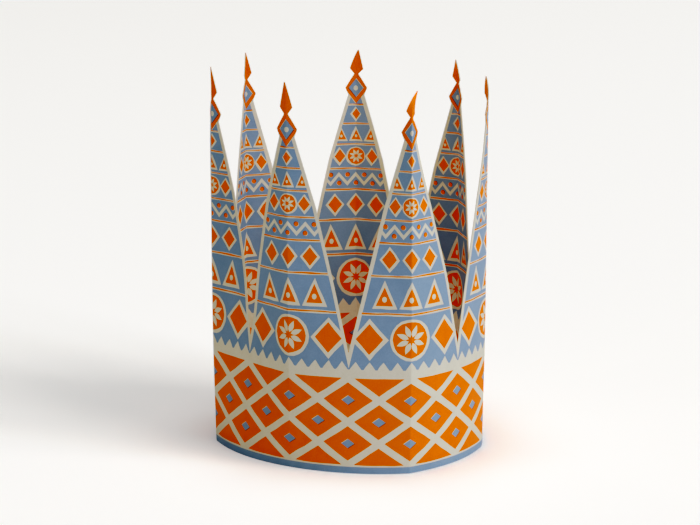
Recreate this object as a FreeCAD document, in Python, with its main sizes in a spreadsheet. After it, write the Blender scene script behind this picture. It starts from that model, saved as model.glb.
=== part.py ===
"""Paper crown: one sheet of printed card, die cut into seven tall spires, folded
down the middle of each spire and bent round into a ring whose ends are lapped
and glued. The sheet's fold lines make an uneven seven-sided plan of equal
panels. The open hem keeps some of the sheet's springiness, so each panel bows
outwards there and runs flat further up. Between two folds a V notch is cut out
of the panel, and what is left beside each fold is half a spire, with a small
lozenge and a spearhead on its tip.

Millimetres. Z is up, the hem stands on z = 0, and the origin is at the middle
of the crown's footprint. -Y is the front.
"""

import FreeCAD, Part
import math
import os
import Sketcher

from FreeCAD import Placement, Rotation, Vector

SIZES = {
    # The sheet
    "card_thickness": 0.4,
    "panel_width": 83.0,
    # The plan: where the front right panel points, and how far the sheet is
    # folded at each of the next four fold lines, in degrees
    "front_right_heading": 51.6,
    "right_turn": 49.4,
    "back_right_turn": 48.8,
    "back_turn": 50.0,
    "back_left_turn": 56.0,
    # The skirt: how far a panel bows at the hem, and the height where it has run flat
    "hem_bow": 7.3,
    "flat_height": 123.0,
    # The spires: heights above the hem, and half widths beside the fold
    "notch_height": 82.0,
    "swell_height": 178.0,
    "swell_half": 19.2,
    "shoulder_height": 224.2,
    "shoulder_half": 5.4,
    "lozenge_height": 229.2,
    "lozenge_half": 7.4,
    "neck_height": 239.3,
    "neck_half": 1.3,
    "spearhead_height": 243.6,
    "spearhead_half": 4.5,
    "tip_height": 260.5,
    "tip_half": 0.3,
    # The glue tab inside the lap at the back
    "tab_width": 13.0,
    "tab_margin": 4.0,
    "tab_slant": 7.0,
}

# Where the lap is: the panel left of the back fold, counted from the front right one
LAP_PANEL = 3
# A notch's cutter reaches this far to each side of its panel's plane, and above the tips
CUTTER_REACH = 6.0
# The share of the card's thickness that the glued tab sinks into the wall
GLUE_BITE = 0.5
# No feature may change the sheet's volume by less than this
LEAST_CHANGE = 1.0


def make_sheet(document, sizes):
    """The spreadsheet of driving sizes, one named cell each."""
    sheet = document.addObject("Spreadsheet::Sheet", "sizes")
    for row, (name, value) in enumerate(sizes.items(), start=1):
        sheet.set(f"A{row}", name)
        sheet.set(f"B{row}", str(value))
        sheet.setAlias(f"B{row}", name)
    document.recompute()
    return sheet


def heading_vector(degrees):
    """A unit vector on the plan."""
    angle = math.radians(degrees)
    return Vector(math.cos(angle), math.sin(angle), 0)


def outward(start, end):
    """The unit normal of a plan edge that is walked anticlockwise."""
    along = end - start
    return Vector(along.y, -along.x, 0).normalize()


def fold_points(sheet):
    """Where the seven folds stand on the plan, about their mean.

    Five panels are walked from the front right fold. The last two close the
    ring, as the equal sides of a triangle.
    """
    heading = sheet.front_right_heading
    points = [Vector(0, 0, 0), heading_vector(heading) * sheet.panel_width]
    for turn in (sheet.right_turn, sheet.back_right_turn, sheet.back_turn, sheet.back_left_turn):
        heading += turn
        points.append(points[-1] + heading_vector(heading) * sheet.panel_width)
    middle = (points[0] + points[-1]) * 0.5
    half_gap = points[0].distanceToPoint(points[-1]) / 2
    rise = math.sqrt(sheet.panel_width**2 - half_gap**2)
    points.append(middle + outward(points[-1], points[0]) * rise)
    mean = sum(points, Vector()) * (1 / len(points))
    return [point - mean for point in points]


def edges_of(corners):
    """Each edge of a closed loop as its start and end."""
    return list(zip(corners, corners[1:] + corners[:1]))


def inset_loop(corners, inset):
    """The same loop drawn this far inside."""
    normals = [outward(start, end) for start, end in edges_of(corners)]
    moved = []
    for index, corner in enumerate(corners):
        bisector = (normals[index - 1] + normals[index]).normalize()
        moved.append(corner - bisector * (inset / bisector.dot(normals[index])))
    return moved


def hem_share(sheet):
    """A bowed panel's chord at the hem, as a share of the panel's flat width."""
    return 1 - 8 * sheet.hem_bow**2 / (3 * sheet.panel_width**2)


def new_sketch(body, name, role, offset=Placement()):
    """A sketch on one of the body's own origin planes, moved by the offset."""
    sketch = body.newObject("Sketcher::SketchObject", name)
    plane = next(feature for feature in body.Origin.OriginFeatures if feature.Role == role)
    sketch.AttachmentSupport = [(plane, "")]
    sketch.MapMode = "FlatFace"
    sketch.AttachmentOffset = offset
    return sketch


def drive(sketch, formula, kind, *where_and_value):
    """Add a dimension to a sketch and bind it to a formula of the sizes."""
    index = sketch.addConstraint(Sketcher.Constraint(kind, *where_and_value))
    sketch.setExpression(f"Constraints[{index}]", formula)


def tie(sketch, kind, *where):
    """Add a geometric constraint to a sketch."""
    sketch.addConstraint(Sketcher.Constraint(kind, *where))


def close_loop(sketch, edges):
    """Join each edge's end to the next edge's start."""
    for edge, following in edges_of(edges):
        tie(sketch, "Coincident", edge, 2, following, 1)


def draw_chords(sketch, sheet, corners, width_formula, construction):
    """Seven equal lines from fold to fold, at the headings of the sizes."""
    chords = []
    for start, end in edges_of(corners):
        chords.append(sketch.addGeometry(Part.LineSegment(start, end), construction))
    close_loop(sketch, chords)
    for chord in chords[1:]:
        tie(sketch, "Equal", chords[0], chord)
    drive(sketch, width_formula, "Distance", chords[0], corners[0].distanceToPoint(corners[1]))
    heading = math.radians(sheet.front_right_heading)
    drive(sketch, "sizes.front_right_heading * 1deg", "Angle", chords[0], heading)
    for index, turn in enumerate(("right_turn", "back_right_turn", "back_turn", "back_left_turn")):
        angle = math.radians(getattr(sheet, turn))
        drive(sketch, f"sizes.{turn} * 1deg", "Angle", chords[index], 1, chords[index + 1], 1, angle)
    tie(sketch, "DistanceX", -1, 1, chords[0], 1, corners[0].x)
    tie(sketch, "DistanceY", -1, 1, chords[0], 1, corners[0].y)
    return chords


def flat_section(body, sheet, corners):
    """The card's section where its panels run flat: two loops of seven lines."""
    sketch = new_sketch(body, "flat_section", "XY_Plane")
    sketch.setExpression("AttachmentOffset.Base.z", "sizes.flat_height")
    chords = draw_chords(sketch, sheet, corners, "sizes.panel_width", False)
    inside = []
    for start, end in edges_of(inset_loop(corners, sheet.card_thickness)):
        inside.append(sketch.addGeometry(Part.LineSegment(start, end), False))
    close_loop(sketch, inside)
    for edge, chord in zip(inside, chords):
        tie(sketch, "Parallel", edge, chord)
        drive(sketch, "sizes.card_thickness", "Distance", edge, 1, chord, sheet.card_thickness)
    return sketch


def hem_section(body, sheet, corners):
    """The card's section at the hem: each panel bows out as an arc."""
    sketch = new_sketch(body, "hem_section", "XY_Plane")
    chord_formula = "(sizes.panel_width - 8 * sizes.hem_bow^2 / (3 * sizes.panel_width))"
    radius_formula = f"{chord_formula}^2 / (8 * sizes.hem_bow) + sizes.hem_bow / 2"
    hem_corners = [corner * hem_share(sheet) for corner in corners]
    chords = draw_chords(sketch, sheet, hem_corners, chord_formula, True)
    chord = hem_corners[0].distanceToPoint(hem_corners[1])
    radius = chord**2 / (8 * sheet.hem_bow) + sheet.hem_bow / 2
    loops = []
    for corner_loop in (hem_corners, inset_loop(hem_corners, sheet.card_thickness)):
        arcs = []
        for start, end in edges_of(corner_loop):
            crest = (start + end) * 0.5 + outward(start, end) * sheet.hem_bow
            arcs.append(sketch.addGeometry(Part.Arc(start, crest, end), False))
        for arc in arcs[1:]:
            tie(sketch, "Equal", arcs[0], arc)
        loops.append(arcs)
    outside, inside = loops
    for arc, line in zip(outside, chords):
        tie(sketch, "Coincident", arc, 1, line, 1)
        tie(sketch, "Coincident", arc, 2, line, 2)
    for arc, skin in zip(inside, outside):
        tie(sketch, "Coincident", arc, 3, skin, 3)
    close_loop(sketch, inside)
    drive(sketch, radius_formula, "Radius", outside[0], radius)
    inner_radius = radius - sheet.card_thickness
    drive(sketch, f"{radius_formula} - sizes.card_thickness", "Radius", inside[0], inner_radius)
    return sketch


def wall_point(sheet, corners, across, height, inset):
    """A point of the lap panel's skirt.

    Across is measured from the panel's middle and the inset from the outside.
    The skirt's skin is straight from the hem's arc to the flat section.
    """
    start, end = edges_of(corners)[LAP_PANEL]
    along = (end - start).normalize()
    normal = outward(start, end)
    middle = (start + end) * 0.5
    chord = sheet.panel_width * hem_share(sheet)
    radius = chord**2 / (8 * sheet.hem_bow) + sheet.hem_bow / 2
    share = across / sheet.panel_width
    angle = 2 * share * math.asin(chord / 2 / radius)
    ray = along * math.sin(angle) + normal * math.cos(angle)
    centre = middle * hem_share(sheet) + normal * (sheet.hem_bow - radius)
    at_hem = centre + ray * (radius - inset)
    at_flat = middle + along * across - normal * inset
    rise = height / sheet.flat_height
    return at_hem * (1 - rise) + at_flat * rise


def tab_section(body, sheet, corners, name, height_formula, height, width):
    """The glue tab's section at one height: a strip that follows the wall."""
    outer_inset = (1 - GLUE_BITE) * sheet.card_thickness
    inner_inset = 2 * sheet.card_thickness
    skins = []
    for inset in (outer_inset, inner_inset):
        skins.append([wall_point(sheet, corners, width * share, height, inset) for share in (0, 0.5, 1)])
    outer, inner = skins
    sketch = new_sketch(body, name, "XY_Plane")
    sketch.setExpression("AttachmentOffset.Base.z", height_formula)
    edges = [
        sketch.addGeometry(Part.Arc(*outer), False),
        sketch.addGeometry(Part.LineSegment(outer[2], inner[2]), False),
        sketch.addGeometry(Part.Arc(*inner), False),
        sketch.addGeometry(Part.LineSegment(inner[0], outer[0]), False),
    ]
    tie(sketch, "Coincident", edges[0], 2, edges[1], 1)
    tie(sketch, "Coincident", edges[1], 2, edges[2], 2)
    tie(sketch, "Coincident", edges[2], 1, edges[3], 1)
    tie(sketch, "Coincident", edges[3], 2, edges[0], 1)
    for edge in edges:
        tie(sketch, "Block", edge)
    return sketch


def add_tab(body, sheet, corners):
    """The glue tab, whose corners are cut off at a slant."""
    top = sheet.notch_height - sheet.tab_margin
    narrow = sheet.tab_width - sheet.tab_slant
    steps = [
        ("tab_foot", "sizes.tab_margin", sheet.tab_margin, narrow),
        ("tab_lower", "sizes.tab_margin + sizes.tab_slant", sheet.tab_margin + sheet.tab_slant, sheet.tab_width),
        ("tab_upper", "sizes.notch_height - sizes.tab_margin - sizes.tab_slant", top - sheet.tab_slant,
         sheet.tab_width),
        ("tab_head", "sizes.notch_height - sizes.tab_margin", top, narrow),
    ]
    sections = [tab_section(body, sheet, corners, *step) for step in steps]
    return add_loft(body, "glue_tab", sections)


def add_loft(body, name, sections):
    """A ruled loft through the sections."""
    loft = body.newObject("PartDesign::AdditiveLoft", name)
    loft.Profile = sections[0]
    loft.Sections = sections[1:]
    loft.Ruled = True
    return loft


def notch_outline(sheet):
    """The right half of a notch, upwards: across from the panel's middle, and height."""
    fold = sheet.panel_width / 2
    return [
        Vector(0, sheet.notch_height, 0),
        Vector(fold - sheet.swell_half, sheet.swell_height, 0),
        Vector(fold - sheet.shoulder_half, sheet.shoulder_height, 0),
        Vector(fold - sheet.lozenge_half, sheet.lozenge_height, 0),
        Vector(fold - sheet.neck_half, sheet.neck_height, 0),
        Vector(fold - sheet.spearhead_half, sheet.spearhead_height, 0),
        Vector(fold - sheet.tip_half, sheet.tip_height, 0),
        Vector(fold - sheet.tip_half, sheet.tip_height + CUTTER_REACH, 0),
    ]


def notch_formulas():
    """The formulas of the same outline's points."""
    parts = ("swell", "shoulder", "lozenge", "neck", "spearhead", "tip")
    formulas = [("0mm", "sizes.notch_height")]
    for part in parts:
        formulas.append((f"sizes.panel_width / 2 - sizes.{part}_half", f"sizes.{part}_height"))
    last_across, last_height = formulas[-1]
    formulas.append((last_across, f"{last_height} + {CUTTER_REACH}"))
    return formulas


def cut_notch(body, sheet, name, start, end):
    """Cut one panel's notch out, square to the panel."""
    middle = (start + end) * 0.5
    heading = math.degrees(math.atan2(end.y - start.y, end.x - start.x))
    upright = Placement(Vector(middle.x, 0, -middle.y), Rotation(Vector(0, 1, 0), heading))
    sketch = new_sketch(body, f"{name}_outline", "XZ_Plane", upright)
    right = notch_outline(sheet)
    left = [Vector(-point.x, point.y, 0) for point in reversed(right[1:])]
    edges = []
    for first, second in edges_of(right + left):
        edges.append(sketch.addGeometry(Part.LineSegment(first, second), False))
    close_loop(sketch, edges)
    tie(sketch, "PointOnObject", edges[0], 1, -2)
    for index, (across, height) in enumerate(notch_formulas()):
        drive(sketch, height, "DistanceY", -1, 1, edges[index], 1, right[index].y)
        if index:
            drive(sketch, across, "DistanceX", -1, 1, edges[index], 1, right[index].x)
            tie(sketch, "Symmetric", edges[index], 1, edges[-index], 1, -2)
    notch = body.newObject("PartDesign::Pocket", name)
    notch.Profile = sketch
    notch.SideType = "Symmetric"
    notch.Length = 2 * CUTTER_REACH
    return notch


def check_change(document, feature, before):
    """Recompute, and stop if the feature failed or left the volume as it was."""
    document.recompute()
    after = feature.Shape.Volume
    if not feature.isValid() or abs(after - before) < LEAST_CHANGE:
        raise RuntimeError(f"{feature.Name} failed or changed nothing")
    return after


def build_crown(document, sheet):
    """The folded sheet as one body, centred on its footprint."""
    body = document.addObject("PartDesign::Body", "crown_sheet")
    body.Label = "crown_sheet"
    corners = fold_points(sheet)
    hem = hem_section(body, sheet, corners)
    flat = flat_section(body, sheet, corners)
    volume = check_change(document, add_loft(body, "skirt", [hem, flat]), 0)
    spires = body.newObject("PartDesign::Pad", "spires")
    spires.Profile = flat
    spires.setExpression("Length", "sizes.tip_height - sizes.flat_height")
    volume = check_change(document, spires, volume)
    volume = check_change(document, add_tab(body, sheet, corners), volume)
    for index, (start, end) in enumerate(edges_of(corners), start=1):
        notch = cut_notch(body, sheet, f"notch_{index}", start, end)
        volume = check_change(document, notch, volume)
    bounds = body.Shape.optimalBoundingBox(False, False)
    body.Placement = Placement(Vector(-bounds.Center.x, -bounds.Center.y, 0), Rotation())
    document.recompute()
    return body


def check_document(document, body):
    """Stop on a failed object or a shape that isn't one sound solid."""
    for item in document.Objects:
        if "Invalid" in item.State or "Error" in item.State:
            raise RuntimeError(f"{item.Name} failed: {item.State}")
    if body.Shape.isNull() or not body.Shape.isValid() or len(body.Shape.Solids) != 1:
        raise RuntimeError(f"{body.Label} isn't one valid solid")


def main():
    """Build the crown, check it and write it out."""
    document = FreeCAD.newDocument("paper_crown")
    sheet = make_sheet(document, SIZES)
    body = build_crown(document, sheet)
    check_document(document, body)
    os.makedirs("parts", exist_ok=True)
    body.Shape.exportStep(f"parts/{body.Label}.step")
    bounds = body.Shape.optimalBoundingBox(False, False)
    print(f"{body.Label}: {bounds.XLength:.1f} x {bounds.YLength:.1f} x {bounds.ZLength:.1f} mm")
    print(f"volume {body.Shape.Volume:.0f} cubic mm, {len(body.Shape.Faces)} faces")


main()
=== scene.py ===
"""Dresses the paper crown: one printed card sheet, cut, folded and bent into a ring.

The sheet is drawn flat, one spire wide. Two inks are laid on it as fields of
colour, a node tree sets seven spires side by side, and the strip is bent round
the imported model's fold lines and given the card's real thickness.
"""

import logging
import math
from dataclasses import dataclass, field
from enum import Enum

import bpy
import numpy as np
from mathutils import Matrix, Vector
from mathutils.geometry import delaunay_2d_cdt


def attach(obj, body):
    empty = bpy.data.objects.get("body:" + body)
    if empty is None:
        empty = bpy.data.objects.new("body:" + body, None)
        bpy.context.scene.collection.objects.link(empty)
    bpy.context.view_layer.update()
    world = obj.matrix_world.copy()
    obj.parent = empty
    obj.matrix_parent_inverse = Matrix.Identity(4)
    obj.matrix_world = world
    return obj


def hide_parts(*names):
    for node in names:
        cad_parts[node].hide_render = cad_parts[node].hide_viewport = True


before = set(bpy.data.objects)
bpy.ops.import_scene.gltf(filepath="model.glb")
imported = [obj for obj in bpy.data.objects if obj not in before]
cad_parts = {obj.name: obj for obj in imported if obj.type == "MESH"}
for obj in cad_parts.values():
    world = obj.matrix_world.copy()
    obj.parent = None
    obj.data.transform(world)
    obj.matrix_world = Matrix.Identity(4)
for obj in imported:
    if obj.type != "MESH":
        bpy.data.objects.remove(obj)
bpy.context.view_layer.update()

LOG = logging.getLogger("paper_crown")
SHEET_NODE = "crown_sheet"
MM = 0.001
TIP_TOLERANCE = 0.05

Point = tuple[float, float]
Colour = tuple[float, float, float, float]


class Plate(Enum):
    """The two inks of the print. Where neither prints, the cream card shows."""

    ORANGE = "orange"
    BLUE = "blue"


class Motif(Enum):
    """The plain shapes of the spires' rows of ornament."""

    FLOWER = "flower"
    PEAK = "peak"
    DIAMOND = "diamond"
    WAVE = "wave"


class Finish(Enum):
    """What a face of the sheet shows."""

    CARD = 0
    ORANGE_INK = 1
    BLUE_INK = 2
    OVERPRINT = 3
    CUT_EDGE = 4


def linear(hex_colour: str) -> Colour:
    """Turn an sRGB hex colour into linear light.

    Args:
        hex_colour: Six hex digits.

    Returns:
        Red, green, blue and an alpha of one.
    """
    values = []
    for start in (0, 2, 4):
        value = int(hex_colour[start:start + 2], 16) / 255
        values.append(value / 12.92 if value <= 0.04045 else ((value + 0.055) / 1.055) ** 2.4)
    return (*values, 1.0)


def edges_of(corners: np.ndarray) -> list[tuple[np.ndarray, np.ndarray]]:
    """Each edge of a closed loop as its start and end."""
    return list(zip(corners, np.roll(corners, -1, axis=0)))


def oval(middle: Point, half_width: float, half_height: float, count: int) -> np.ndarray:
    """A closed oval outline.

    Args:
        middle: Its centre.
        half_width: Half its width.
        half_height: Half its height.
        count: How many points it has.

    Returns:
        The points, one row each.
    """
    turn = np.arange(count) * 2 * math.pi / count
    return np.stack([middle[0] + half_width * np.cos(turn), middle[1] + half_height * np.sin(turn)], 1)


def lozenge(middle: Point, half_width: float, half_height: float) -> np.ndarray:
    """A diamond outline about its middle."""
    return oval(middle, half_width, half_height, 4)


def petal(middle: Point, angle: float, inner: float, outer: float, half_width: float) -> np.ndarray:
    """A pointed petal of a rosette.

    Args:
        middle: The rosette's centre.
        angle: Where the petal points, in radians.
        inner: How far from the centre it starts.
        outer: How far out its tip is.
        half_width: Half its width.

    Returns:
        The petal's outline.
    """
    share = np.linspace(0, 1, 6)
    along = inner + (outer - inner) * share
    side = half_width * np.sin(math.pi * share**0.8)
    along = np.concatenate([along, along[-2:0:-1]])
    side = np.concatenate([side, -side[-2:0:-1]])
    across = along * math.cos(angle) - side * math.sin(angle)
    rise = along * math.sin(angle) + side * math.cos(angle)
    return np.stack([middle[0] + across, middle[1] + rise], 1)


def shrunk_triangle(triangle: np.ndarray, stroke: float) -> np.ndarray:
    """The triangle inside another that leaves a stroke of even width.

    Args:
        triangle: Three corners.
        stroke: The stroke's width.

    Returns:
        The inner triangle's corners.
    """
    first, second, third = triangle
    sides = np.array([np.hypot(*(second - third)), np.hypot(*(third - first)), np.hypot(*(first - second))])
    doubled = abs((second - first)[0] * (third - first)[1] - (second - first)[1] * (third - first)[0])
    incentre = (triangle * sides[:, None]).sum(0) / sides.sum()
    return incentre + (triangle - incentre) * max(0.0, 1 - stroke * sides.sum() / doubled)


def inside(points: np.ndarray, outline: np.ndarray) -> np.ndarray:
    """Which points lie inside a closed outline.

    Args:
        points: The points, one row each.
        outline: The outline's corners, in order.

    Returns:
        One truth value for each point.
    """
    odd = np.zeros(len(points), bool)
    across, up = points.T
    for (x0, y0), (x1, y1) in edges_of(outline):
        if y0 != y1:
            crosses = (y0 > up) != (y1 > up)
            odd ^= crosses & (across < (x1 - x0) * (up - y0) / (y1 - y0) + x0)
    return odd


@dataclass(frozen=True)
class Blank:
    """The die-cut outline of one spire, in millimetres from its fold and the hem."""

    panel_width: float = 83.0
    notch_height: float = 82.0
    swell_height: float = 178.0
    swell_half: float = 19.2
    shoulder_height: float = 224.2
    shoulder_half: float = 5.4
    lozenge_height: float = 229.2
    lozenge_half: float = 7.4
    neck_height: float = 239.3
    neck_half: float = 1.3
    spearhead_height: float = 243.6
    spearhead_half: float = 4.5
    tip_height: float = 260.5
    tip_half: float = 0.3

    @property
    def side(self) -> float:
        """From a fold to the middle of its panel."""
        return self.panel_width / 2

    def outline(self) -> np.ndarray:
        """The whole outline, anticlockwise from the hem's right end."""
        right = [
            (self.side, 0.0),
            (self.side, self.notch_height),
            (self.swell_half, self.swell_height),
            (self.shoulder_half, self.shoulder_height),
            (self.lozenge_half, self.lozenge_height),
            (self.neck_half, self.neck_height),
            (self.spearhead_half, self.spearhead_height),
            (self.tip_half, self.tip_height),
        ]
        return np.array(right + [(-across, up) for across, up in reversed(right)])

    def long_cut(self, inset: float) -> np.ndarray:
        """A line beside the long cut on the right.

        Args:
            inset: How far inside the cut.

        Returns:
            Its points by the notch, the swell and the shoulder.
        """
        line = self.outline()[1:4]
        inwards = []
        for start, end in zip(line, line[1:]):
            along = (end - start) / np.hypot(*(end - start))
            inwards.append(np.array([-along[1], along[0]]))
        low, high = inwards
        return line + inset * np.array([low, (low + high) / (1 + low @ high), high])


@dataclass(frozen=True)
class Field:
    """One shape on one plate, which prints there or keeps the ink off."""

    outline: np.ndarray
    plate: Plate
    prints: bool


@dataclass(frozen=True)
class Tier:
    """One row of ornament: its height, its pitch, and what stands on the fold and beside it."""

    height: float
    pitch: float
    middle: Motif
    beside: Motif


@dataclass
class Artwork:
    """One spire's print: plain folk geometry in two inks, later shapes over earlier ones."""

    blank: Blank
    hem_stripe: float = 4.8
    hem_line: float = 0.9
    band_top: float = 65.0
    stripe_top: float = 71.0
    border: float = 2.3
    bleed: float = 1.0
    misfit: Point = (0.28, -0.22)
    wobble: float = 0.14
    longest_snip: float = 7.0
    cells: int = 2
    bar: float = 4.8
    gem: Point = (4.6, 3.3)
    dogteeth: int = 9
    dogtooth_height: float = 5.4
    tier_foot: float = 5.0
    line: float = 2.9
    line_gap: float = 0.3
    line_rim: float = 0.3
    finial_field: Point = (5.2, 6.9)
    finial_dot: Point = (1.6, 1.8)
    tiers: tuple[Tier, ...] = (
        Tier(31.0, 27.6667, Motif.FLOWER, Motif.DIAMOND),
        Tier(22.0, 18.0, Motif.PEAK, Motif.PEAK),
        Tier(19.0, 15.0, Motif.DIAMOND, Motif.DIAMOND),
        Tier(12.5, 12.0, Motif.WAVE, Motif.WAVE),
        Tier(15.0, 11.5, Motif.FLOWER, Motif.DIAMOND),
        Tier(12.5, 10.4, Motif.PEAK, Motif.PEAK),
        Tier(11.5, 8.4, Motif.DIAMOND, Motif.DIAMOND),
    )
    fields: list[Field] = field(default_factory=list)

    def __post_init__(self) -> None:
        """Draw every part of the print."""
        self.random = np.random.default_rng(11)
        self.draw_grounds()
        self.draw_trellis()
        self.draw_dogteeth()
        self.draw_tiers()
        self.draw_border()
        self.draw_finial()

    def snipped(self, outline: np.ndarray) -> np.ndarray:
        """Divide long edges and move each point a little, as scissors do."""
        points = []
        for start, end in edges_of(outline):
            count = max(1, math.ceil(np.hypot(*(end - start)) / self.longest_snip))
            points += [start + (end - start) * step / count for step in range(count)]
        shift = self.random.normal(0, self.wobble, (len(points), 2))
        return np.array(points) + shift.clip(-2 * self.wobble, 2 * self.wobble)

    def add(self, outline: np.ndarray, plate: Plate, prints: bool) -> None:
        """Add a shape to one plate, with what reaches in from the next spires.

        Args:
            outline: The shape.
            plate: The ink. The blue one lies slightly out of register.
            prints: Whether ink goes on or is kept off.
        """
        if plate is Plate.BLUE:
            outline = outline + np.array(self.misfit)
        for step in (-1, 0, 1):
            copy = outline + np.array([step * self.blank.panel_width, 0.0])
            if copy[:, 0].min() < self.blank.side and copy[:, 0].max() > -self.blank.side:
                self.fields.append(Field(copy, plate, prints))

    def swap(self, outline: np.ndarray, onto: Plate) -> None:
        """Keep the other ink off a shape and print it in this one."""
        other = Plate.ORANGE if onto is Plate.BLUE else Plate.BLUE
        self.add(outline, other, False)
        self.add(outline, onto, True)

    def draw_grounds(self) -> None:
        """The hem stripe and the blue ground that the spires' tiers stand on."""
        side, notch = self.blank.side, self.blank.notch_height
        low = -2 * self.bleed
        self.add(np.array([[-side, low], [side, low], [side, self.hem_stripe], [-side, self.hem_stripe]]),
                 Plate.BLUE, True)
        right = [(side, self.stripe_top), (side, notch), *self.blank.long_cut(-self.bleed)[1:]]
        self.add(np.array(right + [(-across, up) for across, up in reversed(right)]), Plate.BLUE, True)

    def draw_trellis(self) -> None:
        """The band: orange diamonds between crossing cream bars, each with a blue gem."""
        low, high = self.hem_stripe + self.hem_line, self.band_top
        half_width = self.blank.panel_width / self.cells / 2
        half_height = (high - low) / 4
        share = 1 - self.bar / 2 * math.hypot(half_width, half_height) / (half_width * half_height)
        wide, tall = half_width * share, half_height * share
        for step in range(2 * self.cells):
            across = (step - self.cells + 1) * half_width
            rows = (low + half_height, high - half_height)
            if step % 2 == self.cells % 2:
                rows = (low + 2 * half_height,)
                for up, rise in ((low, tall), (high, -tall)):
                    half = np.array([[across - wide, up], [across + wide, up], [across, up + rise]])
                    self.add(self.snipped(half), Plate.ORANGE, True)
            for up in rows:
                self.add(self.snipped(lozenge((across, up), wide, tall)), Plate.ORANGE, True)
                self.swap(lozenge((across, up), *self.gem), Plate.BLUE)

    def draw_dogteeth(self) -> None:
        """Small cream teeth that stand on the stripe."""
        half = self.blank.side / self.dogteeth
        for step in range(self.dogteeth):
            across = (2 * step + 1 - self.dogteeth) * half
            foot = self.stripe_top - self.bleed
            tooth = np.array([[across - half, foot], [across + half, foot],
                              [across, self.stripe_top + self.dogtooth_height]])
            self.add(self.snipped(tooth), Plate.BLUE, False)

    def draw_tiers(self) -> None:
        """The rows of ornament, one above another, with a fine line between."""
        draw = {
            Motif.FLOWER: self.draw_flower,
            Motif.PEAK: self.draw_peak,
            Motif.DIAMOND: self.draw_diamond,
            Motif.WAVE: self.draw_wave,
        }
        foot = self.stripe_top + self.tier_foot
        for tier in self.tiers:
            reach = self.half_width(foot + tier.height / 2) - self.border
            count = math.floor(reach / tier.pitch) + (tier.middle is Motif.WAVE)
            for step in range(-count, count + 1):
                motif = tier.beside if step else tier.middle
                draw[motif](step * tier.pitch, foot, tier.height, tier.pitch)
            foot += tier.height
            thick = self.line * (1 - foot / 400)
            reach = self.half_width(foot)
            for inset, plate in ((0.0, Plate.BLUE), (self.line_rim, Plate.ORANGE)):
                low = foot + thick * (self.line_gap + inset)
                high = foot + thick * (1 + self.line_gap - inset)
                line = np.array([[-reach, low], [reach, low], [reach, high], [-reach, high]])
                self.add(self.snipped(line), plate, plate is Plate.ORANGE)
            foot += (1 + 2 * self.line_gap) * thick

    def half_width(self, height: float) -> float:
        """Half the spire's width at a height."""
        across, up = self.blank.long_cut(0).T
        return float(np.interp(height, up, across))

    def draw_flower(self, across: float, foot: float, height: float, pitch: float) -> None:
        """An orange disc with a cream rosette, ringed in cream."""
        middle = (across, foot + height / 2)
        radius = height * 0.46
        self.add(self.snipped(oval(middle, radius, radius, 24)), Plate.BLUE, False)
        self.add(self.snipped(oval(middle, radius * 0.86, radius * 0.86, 24)), Plate.ORANGE, True)
        petals = 8
        turn = 2 * math.pi / petals
        inner, outer, half_width = 0.14 * radius, 0.74 * radius, 0.13 * radius
        for step in range(petals):
            leaf = petal(middle, turn / 2 + step * turn, inner, outer, half_width)
            self.add(leaf, Plate.ORANGE, False)

    def draw_peak(self, across: float, foot: float, height: float, pitch: float) -> None:
        """An upright orange triangle in a cream outline, with a cream seed."""
        low = foot + 0.08 * height
        tooth = np.array([[across - pitch * 0.47, low], [across + pitch * 0.47, low],
                          [across, foot + 0.94 * height]])
        stroke = 0.085 * height
        self.add(self.snipped(tooth), Plate.BLUE, False)
        self.add(self.snipped(shrunk_triangle(tooth, stroke)), Plate.ORANGE, True)
        seed = (across, foot + 0.36 * height)
        self.add(oval(seed, 0.075 * height, 0.09 * height, 12), Plate.ORANGE, False)

    def draw_diamond(self, across: float, foot: float, height: float, pitch: float) -> None:
        """A cream diamond frame with an orange diamond inside it."""
        middle = (across, foot + height / 2)
        for share, plate, prints in ((0.9, Plate.BLUE, False), (0.66, Plate.ORANGE, True)):
            shape = lozenge(middle, pitch * 0.5 * share, height * 0.5 * share)
            self.add(self.snipped(shape), plate, prints)

    def draw_wave(self, across: float, foot: float, height: float, pitch: float) -> None:
        """One chevron of a cream zigzag, with orange dots in its bays."""
        low, high, thick = foot + 0.1 * height, foot + 0.66 * height, 0.24 * height
        half = pitch / 2 + 0.05
        lower = np.array([[across - half, low], [across, high], [across + half, low]])
        upper = lower[::-1] + np.array([0.0, thick])
        self.add(np.concatenate([lower, upper]), Plate.BLUE, False)
        radius = 0.13 * height
        self.swap(oval((across, foot + 0.26 * height), radius, radius, 14), Plate.ORANGE)
        self.swap(oval((across + pitch / 2, foot + 0.74 * height), radius, radius, 14), Plate.ORANGE)

    def draw_border(self) -> None:
        """The cream border along both cuts, which also ends the tiers."""
        foot, bend, head = self.blank.long_cut(self.border)
        slope = (bend[1] - foot[1]) / (bend[0] - foot[0])
        valley = (self.blank.side, foot[1] + slope * (self.blank.side - foot[0]))
        strip = np.array([*self.blank.long_cut(-self.bleed), head, bend, valley])
        for side in (1, -1):
            for plate in Plate:
                self.add(strip * np.array([side, 1]), plate, False)

    def draw_finial(self) -> None:
        """The orange spearhead, and the lozenge with its blue field and cream dot."""
        blank = self.blank
        middle = (0.0, blank.lozenge_height)
        whole = lozenge(middle, blank.lozenge_half + 0.8, blank.neck_height - blank.lozenge_height + 1.2)
        floor = blank.neck_height - 0.8
        head = np.array([[-8, floor], [8, floor], [8, blank.tip_height + 2], [-8, blank.tip_height + 2]])
        for shape in (whole, head):
            self.add(shape, Plate.BLUE, False)
            self.add(shape, Plate.ORANGE, True)
        self.swap(lozenge(middle, *self.finial_field), Plate.BLUE)
        self.add(oval(middle, *self.finial_dot, 16), Plate.BLUE, False)

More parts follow.
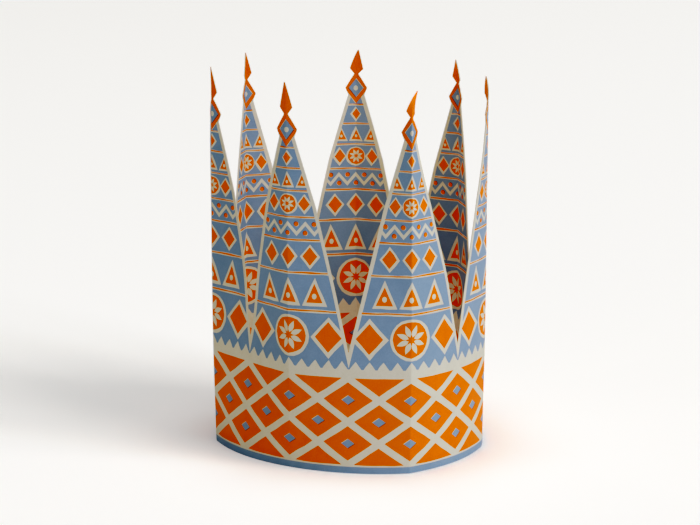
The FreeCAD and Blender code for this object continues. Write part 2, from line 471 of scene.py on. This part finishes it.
    def finishes(self, points: np.ndarray) -> np.ndarray:
        """What the print shows at each point.

        Args:
            points: Places on the sheet, one row each.

        Returns:
            The value of a Finish for each point.
        """
        inked = {plate: np.zeros(len(points), bool) for plate in Plate}
        for shape in self.fields:
            inked[shape.plate][inside(points, shape.outline)] = shape.prints
        orange, blue = inked[Plate.ORANGE], inked[Plate.BLUE]
        result = np.full(len(points), Finish.CARD.value)
        result[orange] = Finish.ORANGE_INK.value
        result[blue] = Finish.BLUE_INK.value
        result[orange & blue] = Finish.OVERPRINT.value
        return result


@dataclass
class FlatSpire:
    """One spire's width of the flat sheet, cut up along every edge of the print."""

    blank: Blank
    artwork: Artwork
    grid: float = 4.15
    crease_lines: tuple[float, ...] = (-0.7, -0.25, 0.0, 0.25, 0.7)
    weld: float = 0.004

    def build(self) -> bpy.types.Object:
        """Triangulate the spire.

        Returns:
            A flat mesh object in metres, with the finish of each face as an attribute.
        """
        points: list[Vector] = []
        edges: list[tuple[int, int]] = []
        for shape in self.artwork.fields:
            self.draw(shape.outline, points, edges)
        self.draw(self.blank.outline(), points, edges)
        for across in self.crease_lines:
            self.draw(np.array([[across, 0.0], [across, self.blank.tip_height]]), points, edges)
        points += self.grid_points()
        corners, _, faces, *_ = delaunay_2d_cdt(points, edges, [], 0, self.weld, False)
        flat = np.array([(point.x, point.y) for point in corners])
        faces = np.array(faces)
        middles = flat[faces].mean(axis=1)
        kept = faces[inside(middles, self.blank.outline())]
        used, kept = np.unique(kept, return_inverse=True)
        kept = kept.reshape(-1, 3)
        flat = flat[used]
        mesh = bpy.data.meshes.new("flat_spire")
        mesh.from_pydata(np.column_stack([flat * MM, np.zeros(len(flat))]).tolist(), [], kept.tolist())
        attribute = mesh.attributes.new("finish", "INT", "FACE")
        attribute.data.foreach_set("value", self.artwork.finishes(flat[kept].mean(axis=1)))
        return bpy.data.objects.new("flat_spire", mesh)

    def draw(self, outline: np.ndarray, points: list[Vector], edges: list[tuple[int, int]]) -> None:
        """Add a closed outline to the lines that faces must follow.

        Args:
            outline: Its corners.
            points: The list that gets the points.
            edges: The list that gets the edges, none longer than the grid.
        """
        first = len(points)
        for start, end in edges_of(outline):
            count = max(1, math.ceil(np.hypot(*(end - start)) / self.grid))
            points += [Vector(start + (end - start) * step / count) for step in range(count)]
        last = len(points) - 1
        edges += [(index, index + 1) for index in range(first, last)] + [(last, first)]

    def grid_points(self) -> list[Vector]:
        """Loose points that keep the faces small enough to bend."""
        across = np.arange(-self.blank.side + self.grid, self.blank.side - 1, self.grid)
        up = np.arange(self.grid, self.blank.tip_height, self.grid)
        places = np.array([(one, other) for other in up for one in across])
        return [Vector(place) for place in places[inside(places, self.blank.outline())]]


def add_node(tree: bpy.types.NodeTree, kind: str, settings: dict | None = None,
             **links: object) -> bpy.types.Node:
    """Add a node with its settings, and its inputs by name.

    Args:
        tree: The node tree.
        kind: The node's class name.
        settings: Attributes to set on it.
        links: For each input, its name with underscores for spaces, or "at_" and
            its number, with either a value or the socket that feeds it.

    Returns:
        The new node.
    """
    node = tree.nodes.new(kind)
    for name, value in (settings or {}).items():
        setattr(node, name, value)
    for name, value in links.items():
        key = int(name[3:]) if name.startswith("at_") else name.replace("_", " ")
        if isinstance(value, bpy.types.NodeSocket):
            tree.links.new(value, node.inputs[key])
        else:
            node.inputs[key].default_value = value
    return node


@dataclass(frozen=True)
class PrintedCard:
    """Matt coated card of about 300 g per square metre, offset printed.

    The ink lies thin on a smooth sheet, so it is matt with a slight sheen, a
    little uneven in density, and the card's fibres show as the finest grain.
    """

    name: str
    colour: str
    deeper: str
    roughness: float = 0.62
    mottle_mm: float = 9.0
    grain_mm: float = 0.9
    fibre_mm: float = 0.5
    bump: float = 0.16
    bump_depth_mm: float = 0.05
    density_range: Point = (0.32, 0.68)
    roughness_spread: float = 0.06
    sheen: float = 0.35

    def build(self) -> bpy.types.Material:
        """Make the material."""
        material = bpy.data.materials.new(self.name)
        material.use_nodes = True
        tree = material.node_tree
        tree.nodes.clear()
        place = add_node(tree, "ShaderNodeTexCoord").outputs["Object"]
        mottle = add_node(tree, "ShaderNodeTexNoise", Vector=place, Scale=1 / (self.mottle_mm * MM),
                          Detail=3.0, Roughness=0.6)
        grain = add_node(tree, "ShaderNodeTexNoise", Vector=place, Scale=1 / (self.grain_mm * MM), Detail=2.0)
        halved = add_node(tree, "ShaderNodeMath", {"operation": "MULTIPLY"}, at_0=grain.outputs["Fac"],
                          at_1=0.5)
        density = add_node(tree, "ShaderNodeMath", {"operation": "MULTIPLY_ADD"},
                           at_0=mottle.outputs["Fac"], at_1=0.5, at_2=halved.outputs[0])
        spread = add_node(tree, "ShaderNodeMapRange", Value=density.outputs[0],
                          From_Min=self.density_range[0], From_Max=self.density_range[1])
        ink = add_node(tree, "ShaderNodeMix", {"data_type": "RGBA"}, at_0=spread.outputs[0],
                       at_6=linear(self.deeper), at_7=linear(self.colour))
        rough = add_node(tree, "ShaderNodeMapRange", Value=mottle.outputs["Fac"],
                         To_Min=self.roughness - self.roughness_spread,
                         To_Max=self.roughness + self.roughness_spread)
        fibre = add_node(tree, "ShaderNodeTexNoise", Vector=place, Scale=1 / (self.fibre_mm * MM),
                         Detail=3.0, Roughness=0.7)
        bump = add_node(tree, "ShaderNodeBump", Height=fibre.outputs["Fac"], Strength=self.bump,
                        Distance=self.bump_depth_mm * MM)
        shader = add_node(tree, "ShaderNodeBsdfPrincipled", Base_Color=ink.outputs[2],
                          Roughness=rough.outputs[0], Normal=bump.outputs[0],
                          Specular_IOR_Level=self.sheen)
        add_node(tree, "ShaderNodeOutputMaterial", Surface=shader.outputs[0])
        return material


FINISHES = {
    # Unprinted card, a warm off-white
    Finish.CARD: PrintedCard("cream_card", "D4D2C4", "CCC9BA"),
    # A bright warm orange, the denser for being a mixed spot ink
    Finish.ORANGE_INK: PrintedCard("orange_ink_on_card", "E37C1C", "DC7218", roughness=0.55),
    # A soft mid blue
    Finish.BLUE_INK: PrintedCard("blue_ink_on_card", "869DB9", "7E95B1", roughness=0.55),
    # Where the blue plate has slipped over the orange
    Finish.OVERPRINT: PrintedCard("overprinted_ink", "5A4434", "4E3C30", roughness=0.52),
    # The raw core of the card where the die has cut it
    Finish.CUT_EDGE: PrintedCard("raw_card_edge", "DDD4C0", "CFC4AC", roughness=0.85, grain_mm=0.4,
                                 bump=0.3),
}


@dataclass
class SpireRow:
    """A node tree that sets spires side by side and gives each field its finish."""

    count: int
    pitch: float
    materials: dict[Finish, bpy.types.Material]
    weld: float = 0.02 * MM

    def build(self, spire: bpy.types.Object) -> bpy.types.Mesh:
        """Repeat the flat spire.

        Args:
            spire: The flat spire.

        Returns:
            The whole flat sheet as a plain mesh.
        """
        tree = self.node_tree()
        bpy.context.scene.collection.objects.link(spire)
        modifier = spire.modifiers.new("row", "NODES")
        modifier.node_group = tree
        sizes = {"Spires": self.count, "Pitch": self.pitch}
        for item in tree.interface.items_tree:
            if item.name in sizes:
                modifier[item.identifier] = sizes[item.name]
        depsgraph = bpy.context.evaluated_depsgraph_get()
        mesh = bpy.data.meshes.new_from_object(spire.evaluated_get(depsgraph), depsgraph=depsgraph)
        spire.modifiers.remove(modifier)
        bpy.data.objects.remove(spire)
        return mesh

    def node_tree(self) -> bpy.types.NodeTree:
        """The tree: a line of points, a spire on each, welded where they meet."""
        tree = bpy.data.node_groups.new("row_of_spires", "GeometryNodeTree")
        tree.interface.new_socket("Spire", in_out="INPUT", socket_type="NodeSocketGeometry")
        tree.interface.new_socket("Spires", in_out="INPUT", socket_type="NodeSocketInt")
        tree.interface.new_socket("Pitch", in_out="INPUT", socket_type="NodeSocketFloat")
        tree.interface.new_socket("Sheet", in_out="OUTPUT", socket_type="NodeSocketGeometry")
        given = add_node(tree, "NodeGroupInput")
        step = add_node(tree, "ShaderNodeCombineXYZ", X=given.outputs["Pitch"])
        line = add_node(tree, "GeometryNodeMeshLine", Count=given.outputs["Spires"], Offset=step.outputs[0])
        placed = add_node(tree, "GeometryNodeInstanceOnPoints", Points=line.outputs[0],
                          Instance=given.outputs["Spire"])
        real = add_node(tree, "GeometryNodeRealizeInstances", Geometry=placed.outputs[0])
        shape = add_node(tree, "GeometryNodeMergeByDistance", Geometry=real.outputs[0], Distance=self.weld)
        finish = add_node(tree, "GeometryNodeInputNamedAttribute", {"data_type": "INT"}, Name="finish")
        for option, material in self.materials.items():
            chosen = add_node(tree, "FunctionNodeCompare", {"data_type": "INT", "operation": "EQUAL"},
                              at_2=finish.outputs["Attribute"], at_3=option.value)
            shape = add_node(tree, "GeometryNodeSetMaterial", Geometry=shape.outputs[0],
                             Selection=chosen.outputs[0], Material=material)
        add_node(tree, "NodeGroupOutput", Sheet=shape.outputs[0])
        return tree


@dataclass(frozen=True)
class Bend:
    """How one spire leans, how its tip curls and how its halves bow.

    Out is away from the crown's middle, and along is towards the next spire,
    anticlockwise from above. The twist turns the spearhead about its fold.
    Leans, curls and twist are in degrees. The rest is how many millimetres the
    card bows out past an even ring: in the valley after the spire, and in its
    left and right halves a third of the way up them and at the finial.
    """

    lean_out: float = 0.0
    lean_along: float = 0.0
    curl_out: float = 0.0
    curl_along: float = 0.0
    twist: float = 0.0
    valley: float = 0.0
    left: Point = (0.0, 0.0)
    right: Point = (0.0, 0.0)


# The front right spire first, then anticlockwise. Handling has curled every spearhead a little.
BENDS = (
    Bend(-0.5, -0.2, -55.2, 41.4, 28.0, valley=4.9, left=(0.0, -8.0), right=(6.8, -3.5)),
    Bend(0.0, 1.5, 4.4, -45.3, 30.0, left=(6.3, 10.0)),
    Bend(-0.5, 0.2, -33.2, -33.6, 0.0, left=(0.0, 2.5)),
    Bend(0.5, -0.1, -43.3, -7.9, 0.0, left=(5.0, 8.0), right=(4.0, 6.0)),
    Bend(0.3, -1.0, -20.6, 22.4, 10.0, valley=3.0),
    Bend(-0.8, 1.6, 3.0, -8.1, -12.0, valley=-3.0, left=(6.5, 10.0), right=(-5.8, -7.0)),
    Bend(0.9, -0.3, 7.0, 1.3, 0.0, valley=1.5, left=(1.5, 5.0), right=(0.0, 1.0)),
)


@dataclass
class RingForm:
    """The bent shape of the sheet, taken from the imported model's folds."""

    blank: Blank
    folds: np.ndarray
    bends: tuple[Bend, ...]
    first_fold: int
    hem_bow: float = 7.3
    flat_height: float = 123.0
    bow_softness: float = 0.16
    crease: float = 0.65
    thickness: float = 0.4
    lean_start: float = 100.0
    curl_start: float = 236.0
    curl_ease: float = 0.7
    third: float = 130.0
    softening: int = 12

    def bow(self, height: np.ndarray) -> np.ndarray:
        """How far an even ring's panels bow out, fading softly with height."""
        share = 1 - height / self.flat_height
        return self.hem_bow * (share + np.sqrt(share**2 + self.bow_softness**2)) / 2

    def slack(self, fold: np.ndarray, height: np.ndarray, right: bool) -> np.ndarray:
        """How much further out the card bows beside each fold than in an even ring.

        Args:
            fold: Each point's fold.
            height: How far above the hem.
            right: Whether to give the half on the fold's right.

        Returns:
            The extra bow of the panel, in millimetres.
        """
        blank, soft = self.blank, self.softening
        levels = (0, blank.notch_height, blank.notch_height + soft, self.third, blank.lozenge_height)
        heights = np.arange(-soft, blank.tip_height + soft + 1)
        result = np.empty(len(height))
        for index, bend in enumerate(self.bends):
            valley = bend.valley if right else self.bends[index - 1].valley
            steps = np.interp(heights, levels, (0, valley, valley, *(bend.right if right else bend.left)))
            smooth = np.convolve(steps, np.full(2 * soft + 1, 1 / (2 * soft + 1)), "valid")
            mine = fold == index
            result[mine] = np.interp(height[mine], heights[soft:-soft], smooth)
        return result

    def panel_place(self, panel: np.ndarray, across: np.ndarray, height: np.ndarray,
                    slack: np.ndarray) -> np.ndarray:
        """Places on the panels, before leans and curls.

        Args:
            panel: Each point's panel, named by the fold that it starts from.
            across: How far along the sheet from the panel's middle.
            height: How far above the hem.
            slack: How much further out the panel bows there than in an even ring.

        Returns:
            The places, one row each.
        """
        start = self.folds[panel]
        end = self.folds[(panel + 1) % len(self.folds)]
        along = (end - start) / self.blank.panel_width
        normal = np.stack([along[:, 1], -along[:, 0]], 1)
        bow = self.bow(height)
        # The chord of a shallow arc that is as long as the panel
        chord_share = 1 - 8 * bow**2 / (3 * self.blank.panel_width**2)
        share = across / self.blank.side
        middle = (start + end) / 2
        plan = (middle + along * across[:, None]) * chord_share[:, None]
        plan = plan + normal * ((bow + slack) * (1 - share**2))[:, None]
        return np.column_stack([plan, height])

    def place(self, length: np.ndarray, height: np.ndarray,
              inset: np.ndarray) -> tuple[np.ndarray, np.ndarray]:
        """Places and outward normals of points of the bent sheet.

        Args:
            length: How far along the flat sheet, from its first fold.
            height: How far above the hem.
            inset: How far inside the outer face.

        Returns:
            The places and the normals, one row each.
        """
        reach = 0.05
        skin = self.skin(length, height)
        along = self.skin(length + reach, height) - self.skin(length - reach, height)
        upwards = self.skin(length, height + reach) - self.skin(length, height - reach)
        normal = np.cross(along, upwards)
        normal /= np.linalg.norm(normal, axis=1)[:, None]
        return skin - normal * inset[:, None], normal

    def skin(self, length: np.ndarray, height: np.ndarray) -> np.ndarray:
        """The outer face, folded, bowed, leaned and curled."""
        order = np.round(length / self.blank.panel_width).astype(int)
        order = order.clip(0, len(self.folds) - 1)
        offset = length - order * self.blank.panel_width
        fold = (order + self.first_fold) % len(self.folds)
        before = np.where(np.abs(offset) < self.crease, -((self.crease - offset) ** 2) / (4 * self.crease),
                          np.minimum(offset, 0))
        after = np.where(np.abs(offset) < self.crease, (self.crease + offset) ** 2 / (4 * self.crease),
                         np.maximum(offset, 0))
        side = self.blank.side
        left_slack, right_slack = (self.slack(fold, height, right) for right in (False, True))
        corner = self.panel_place(fold, np.full(len(fold), -side), height, right_slack)
        left = self.panel_place((fold - 1) % len(self.folds), side + before, height, left_slack)
        right = self.panel_place(fold, after - side, height, right_slack)
        return self.bent(fold, corner, left + right - corner)

    def bent(self, fold: np.ndarray, corner: np.ndarray, places: np.ndarray) -> np.ndarray:
        """Lean and curl the spires about their fold lines.

        Args:
            fold: Each point's fold.
            corner: The fold line at each point's height.
            places: The points.

        Returns:
            The moved points.
        """
        result = places.copy()
        top = self.blank.tip_height
        step = 0.5
        heights = np.arange(0, top + 2, step)
        lean = ((heights - self.lean_start) / (top - self.lean_start)).clip(0, 1)
        curl = ((heights - self.curl_start) / (top - self.curl_start)).clip(0, 1) ** self.curl_ease
        for index, bend in enumerate(self.bends):
            mine = np.flatnonzero((fold == index) & (places[:, 2] > self.lean_start))
            outward = self.folds[index] / np.hypot(*self.folds[index])
            beside = np.array([-outward[1], outward[0]])
            out = np.radians(bend.lean_out * lean + bend.curl_out * curl)
            aside = np.radians(bend.lean_along * lean + bend.curl_along * curl)
            rise = np.concatenate([[0], np.cumsum((np.cos(out) * np.cos(aside))[:-1]) * step])
            tables = [np.cumsum(np.sin(out)) * step, np.cumsum(np.sin(aside)) * step, rise, out, aside,
                      np.radians(bend.twist * curl)]
            level = places[mine, 2]
            moved_out, moved_aside, risen, out, aside, twist = (
                np.interp(level, heights, table) for table in tables)
            offset = (places - corner)[mine, :2]
            straight_out, straight_aside = offset @ outward, offset @ beside
            off_out = straight_out * np.cos(twist) - straight_aside * np.sin(twist)
            off_aside = straight_out * np.sin(twist) + straight_aside * np.cos(twist)
            plan = corner[mine, :2]
            plan = plan + np.outer(moved_out + off_out * np.cos(out), outward)
            plan = plan + np.outer(moved_aside + off_aside * np.cos(aside), beside)
            result[mine, :2] = plan
            result[mine, 2] = risen - off_out * np.sin(out) - off_aside * np.sin(aside)
        return result


@dataclass
class CrownSheet:
    """The whole sheet: bent, given its thickness, and lapped at the back."""

    blank: Blank
    form: RingForm
    materials: dict[Finish, bpy.types.Material]
    tab_width: float = 13.0
    tab_margin: float = 4.0
    tab_slant: float = 7.0
    step_length: float = 2.2
    tab_columns: int = 6
    tab_rows: int = 22

    def build(self, flat: bpy.types.Mesh) -> bpy.types.Object:
        """Bend the flat sheet and close it into a solid.

        Args:
            flat: The flat sheet, in metres.

        Returns:
            The crown as one object.
        """
        points = np.array([vertex.co[:2] for vertex in flat.vertices]) / MM
        faces = np.array([polygon.vertices[:] for polygon in flat.polygons])
        finish = np.empty(len(faces), int)
        flat.attributes["finish"].data.foreach_get("value", finish)
        end = (len(self.form.folds) - 0.5) * self.blank.panel_width
        sunk = ((points[:, 0] - end + self.step_length) / self.step_length).clip(0, 1)
        sunk = sunk**2 * (3 - 2 * sunk) * self.form.thickness
        sheet = self.thicken(points, faces, finish, sunk)
        tab_points, tab_faces = self.tab()
        tab_finish = np.full(len(tab_faces), Finish.CARD.value)
        tab = self.thicken(tab_points, tab_faces, tab_finish, np.full(len(tab_points), self.form.thickness))
        return self.make_object(sheet, tab)

    def tab(self) -> tuple[np.ndarray, np.ndarray]:
        """The glue tab as a flat grid, its corners cut off at a slant."""
        top = self.blank.notch_height - self.tab_margin
        across = np.linspace(0, 1, self.tab_columns)
        up = np.linspace(0, 1, self.tab_rows)
        start = -self.blank.side
        points = []
        for rise in up:
            for share in across:
                low = self.tab_margin + self.tab_slant * share
                high = top - self.tab_slant * share
                points.append((start + self.tab_width * share, low + (high - low) * rise))
        faces = []
        wide = len(across)
        for row in range(len(up) - 1):
            for column in range(wide - 1):
                corner = row * wide + column
                above = corner + wide
                faces += [(corner, corner + 1, above + 1), (corner, above + 1, above)]
        return np.array(points), np.array(faces)

    def thicken(self, points: np.ndarray, faces: np.ndarray, finish: np.ndarray,
                sunk: np.ndarray) -> tuple[np.ndarray, np.ndarray, list, np.ndarray]:
        """Bend flat faces and give them their inner side and their cut edges.

        Args:
            points: Flat points, along the sheet and up.
            faces: Triangles of those points.
            finish: Each triangle's finish.
            sunk: How far inside the outer face each point lies.

        Returns:
            The corners, their normals, the faces and the faces' finishes.
        """
        outer, normal = self.form.place(points[:, 0], points[:, 1], sunk)
        inner, _ = self.form.place(points[:, 0], points[:, 1], sunk + self.form.thickness)
        count = len(points)
        edges = np.concatenate([faces[:, [0, 1]], faces[:, [1, 2]], faces[:, [2, 0]]])
        keys = edges.min(axis=1) * count + edges.max(axis=1)
        _, first, uses = np.unique(keys, return_index=True, return_counts=True)
        rim = edges[first[uses == 1]]
        walls = np.column_stack([rim[:, 1], rim[:, 0], rim[:, 0] + count, rim[:, 1] + count])
        every = faces.tolist() + (faces[:, ::-1] + count).tolist() + walls.tolist()
        finishes = np.concatenate([finish, finish, np.full(len(walls), Finish.CUT_EDGE.value)])
        return np.concatenate([outer, inner]), np.concatenate([normal, -normal]), every, finishes

    def make_object(self, *parts: tuple) -> bpy.types.Object:
        """Join the parts into one mesh with true normals and its materials."""
        places, normals, faces, finishes = [], [], [], []
        for corner, normal, face, finish in parts:
            shift = sum(len(one) for one in places)
            places.append(corner)
            normals.append(normal)
            faces += [[index + shift for index in one] for one in face]
            finishes.append(finish)
        mesh = bpy.data.meshes.new("folded_crown")
        mesh.from_pydata((np.concatenate(places) * MM).tolist(), [], faces)
        for option in Finish:
            mesh.materials.append(self.materials[option])
        finishes = np.concatenate(finishes)
        mesh.polygons.foreach_set("material_index", finishes)
        mesh.polygons.foreach_set("use_smooth", np.ones(len(faces), bool))
        mesh.update()
        normals = np.concatenate(normals)
        shown = []
        for polygon, finish in zip(mesh.polygons, finishes):
            for index in polygon.vertices:
                shown.append(polygon.normal[:] if finish == Finish.CUT_EDGE.value else normals[index])
        mesh.normals_split_custom_set(shown)
        crown = bpy.data.objects.new("folded_crown", mesh)
        bpy.context.scene.collection.objects.link(crown)
        return crown


def fold_points(node: bpy.types.Object, blank: Blank) -> np.ndarray:
    """Where the folds stand on the plan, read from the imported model's tips.

    Args:
        node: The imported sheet.
        blank: The die-cut outline.

    Returns:
        The folds in millimetres, anticlockwise from the front right one.
    """
    places = np.array([vertex.co[:] for vertex in node.data.vertices]) / MM
    tips = places[places[:, 2] > blank.tip_height - TIP_TOLERANCE][:, :2]
    folds: list[np.ndarray] = []
    for tip in sorted(tips, key=lambda place: -np.hypot(*place)):
        if all(np.hypot(*(tip - fold)) > blank.panel_width / 2 for fold in folds):
            folds.append(tip)
    ordered = sorted(folds, key=lambda fold: math.atan2(fold[1], fold[0]) % (2 * math.pi))
    front = min(range(len(ordered)), key=lambda index: ordered[index][1])
    return np.array(ordered[front:] + ordered[:front])


@dataclass
class Studio:
    """The pale floor, the soft lights and the camera of the photograph."""

    camera_place: tuple[float, float, float] = (0.0001, -1.8433, 0.5352)
    camera_pitch: float = 12.611
    camera_turn: float = -0.03
    focal_pixels: float = 2752.2
    image_width: int = 700
    floor_reach: float = 30.0
    floor_colour: str = "FAF9F7"
    floor_roughness: float = 0.9
    surround: float = 0.10
    window_aim: float = 0.12
    window_turn: float = -30.0
    window_rise: float = 30.0
    window_distance: float = 20.0
    window_size: float = 12.0
    window_power: float = 2500.0
    window_colour: str = "FFFFFF"
    fill_place: tuple[float, float, float] = (-0.045, -0.020, 0.185)
    fill_turn: float = 22.0
    fill_size: float = 0.07
    fill_power: float = 0.047
    fill_colour: str = "FFEBD2"
    overhead_power: float = 2.0
    overhead_spread: float = 40.0
    overhead_colour: str = "FFFFFF"
    tones: tuple[tuple[Point, ...], ...] = (
        ((0.0, 0.0), (0.085, 0.013), (0.115, 0.036), (0.15, 0.08), (0.196, 0.145), (0.24, 0.203),
         (0.285, 0.262), (0.339, 0.340), (0.40, 0.395), (0.483, 0.460), (0.58, 0.535), (0.70, 0.617),
         (0.82, 0.76), (0.93, 0.92), (1.02, 1.0), (2.0, 1.0)),
        ((0.0, 0.0), (0.085, 0.010), (0.115, 0.032), (0.15, 0.072), (0.196, 0.130), (0.24, 0.188),
         (0.285, 0.248), (0.339, 0.314), (0.40, 0.373), (0.483, 0.445), (0.58, 0.525), (0.70, 0.617),
         (0.82, 0.76), (0.93, 0.92), (1.02, 1.0), (2.0, 1.0)),
        ((0.0, 0.0), (0.085, 0.007), (0.115, 0.025), (0.15, 0.060), (0.196, 0.106), (0.24, 0.155),
         (0.285, 0.212), (0.339, 0.290), (0.40, 0.366), (0.483, 0.445), (0.58, 0.525), (0.70, 0.617),
         (0.82, 0.76), (0.93, 0.92), (1.02, 1.0), (2.0, 1.0)),
    )

    def build(self) -> None:
        """Set up everything round the crown."""
        self.add_floor()
        self.add_world()
        self.add_window()
        self.add_inner_fill()
        self.add_overhead()
        self.add_camera()
        self.set_tones()

    def add_floor(self) -> None:
        """A seamless pale floor."""
        mesh = bpy.data.meshes.new("floor")
        reach = self.floor_reach
        corners = [(-reach, -reach, 0), (reach, -reach, 0), (reach, reach, 0), (-reach, reach, 0)]
        mesh.from_pydata(corners, [], [(0, 1, 2, 3)])
        floor = bpy.data.objects.new("floor", mesh)
        bpy.context.scene.collection.objects.link(floor)
        material = bpy.data.materials.new("pale_floor")
        material.use_nodes = True
        shader = material.node_tree.nodes["Principled BSDF"]
        shader.inputs["Base Color"].default_value = linear(self.floor_colour)
        shader.inputs["Roughness"].default_value = self.floor_roughness
        mesh.materials.append(material)

    def add_world(self) -> None:
        """A faint even surround."""
        world = bpy.data.worlds.new("surround")
        world.use_nodes = True
        back = world.node_tree.nodes["Background"]
        back.inputs["Color"].default_value = linear("FFFFFF")
        back.inputs["Strength"].default_value = self.surround
        bpy.context.scene.world = world

    def add_window(self) -> None:
        """The main light: a large soft window on the right, a little to the front."""
        turn, rise = math.radians(self.window_turn), math.radians(self.window_rise)
        way = Vector((math.cos(turn) * math.cos(rise), math.sin(turn) * math.cos(rise), math.sin(rise)))
        place = Vector((0, 0, self.window_aim)) + way * self.window_distance
        self.add_panel("window", place, way, self.window_size, self.window_power, self.window_colour)

    def add_inner_fill(self) -> None:
        """A faint glow inside the crown, as the real card lets some light through its lit back."""
        turn = math.radians(self.fill_turn)
        way = Vector((-math.cos(turn), -math.sin(turn), 0))
        self.add_panel("inner_fill", Vector(self.fill_place), way, self.fill_size, self.fill_power,
                       self.fill_colour)

    def add_panel(self, name: str, place: Vector, back: Vector, size: float, power: float,
                  colour: str) -> None:
        """Add a square soft light that the camera doesn't see.

        Args:
            name: The light's name.
            place: Its middle, in metres.
            back: The way its back faces.
            size: Its side, in metres.
            power: Its power, in watts.
            colour: Its hex colour.
        """
        light = bpy.data.lights.new(name, "AREA")
        light.size = size
        light.energy = power
        light.color = linear(colour)[:3]
        lamp = bpy.data.objects.new(name, light)
        lamp.location = place
        lamp.rotation_euler = back.to_track_quat("Z", "Y").to_euler()
        lamp.visible_camera = False
        bpy.context.scene.collection.objects.link(lamp)

    def add_overhead(self) -> None:
        """Soft light from straight above, which keeps the floor pale and nearly free of shadow."""
        light = bpy.data.lights.new("overhead", "SUN")
        light.energy = self.overhead_power
        light.angle = math.radians(self.overhead_spread)
        light.color = linear(self.overhead_colour)[:3]
        lamp = bpy.data.objects.new("overhead", light)
        lamp.location = (0, 0, 3)
        bpy.context.scene.collection.objects.link(lamp)

    def set_tones(self) -> None:
        """A plain view transform, with the photograph's deeper shades."""
        settings = bpy.context.scene.view_settings
        settings.view_transform = "Standard"
        settings.use_curve_mapping = True
        mapping = settings.curve_mapping
        mapping.use_clip = False
        mapping.extend = "HORIZONTAL"
        for curve, points in zip(mapping.curves, self.tones):
            curve.points[0].location = points[0]
            curve.points[1].location = points[-1]
            for place in points[1:-1]:
                curve.points.new(*place)
        mapping.update()

    def add_camera(self) -> None:
        """The camera, at the photograph's place and angle."""
        data = bpy.data.cameras.new("camera")
        data.lens = self.focal_pixels / self.image_width * data.sensor_width
        camera = bpy.data.objects.new("camera", data)
        turn = Matrix.Rotation(math.radians(self.camera_turn), 4, "Z")
        tilt = Matrix.Rotation(math.radians(90 - self.camera_pitch), 4, "X")
        camera.matrix_world = Matrix.Translation(self.camera_place) @ turn @ tilt
        bpy.context.scene.collection.objects.link(camera)
        bpy.context.scene.camera = camera


def main() -> None:
    """Build the crown and its studio."""
    logging.basicConfig(level=logging.INFO, format="%(name)s: %(message)s")
    blank = Blank()
    materials = {option: card.build() for option, card in FINISHES.items()}
    spire = FlatSpire(blank, Artwork(blank)).build()
    LOG.info("flat spire: %d faces", len(spire.data.polygons))
    folds = fold_points(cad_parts[SHEET_NODE], blank)
    flat = SpireRow(len(folds), blank.panel_width * MM, materials).build(spire)
    LOG.info("flat sheet: %d faces", len(flat.polygons))
    # The sheet's ends meet at the middle of the panel before its first fold, at the back
    form = RingForm(blank, folds, BENDS, first_fold=4)
    crown = CrownSheet(blank, form, materials).build(flat)
    LOG.info("folded crown: %d faces", len(crown.data.polygons))
    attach(crown, "root")
    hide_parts(SHEET_NODE)
    Studio().build()


if __name__ == "__main__":
    main()
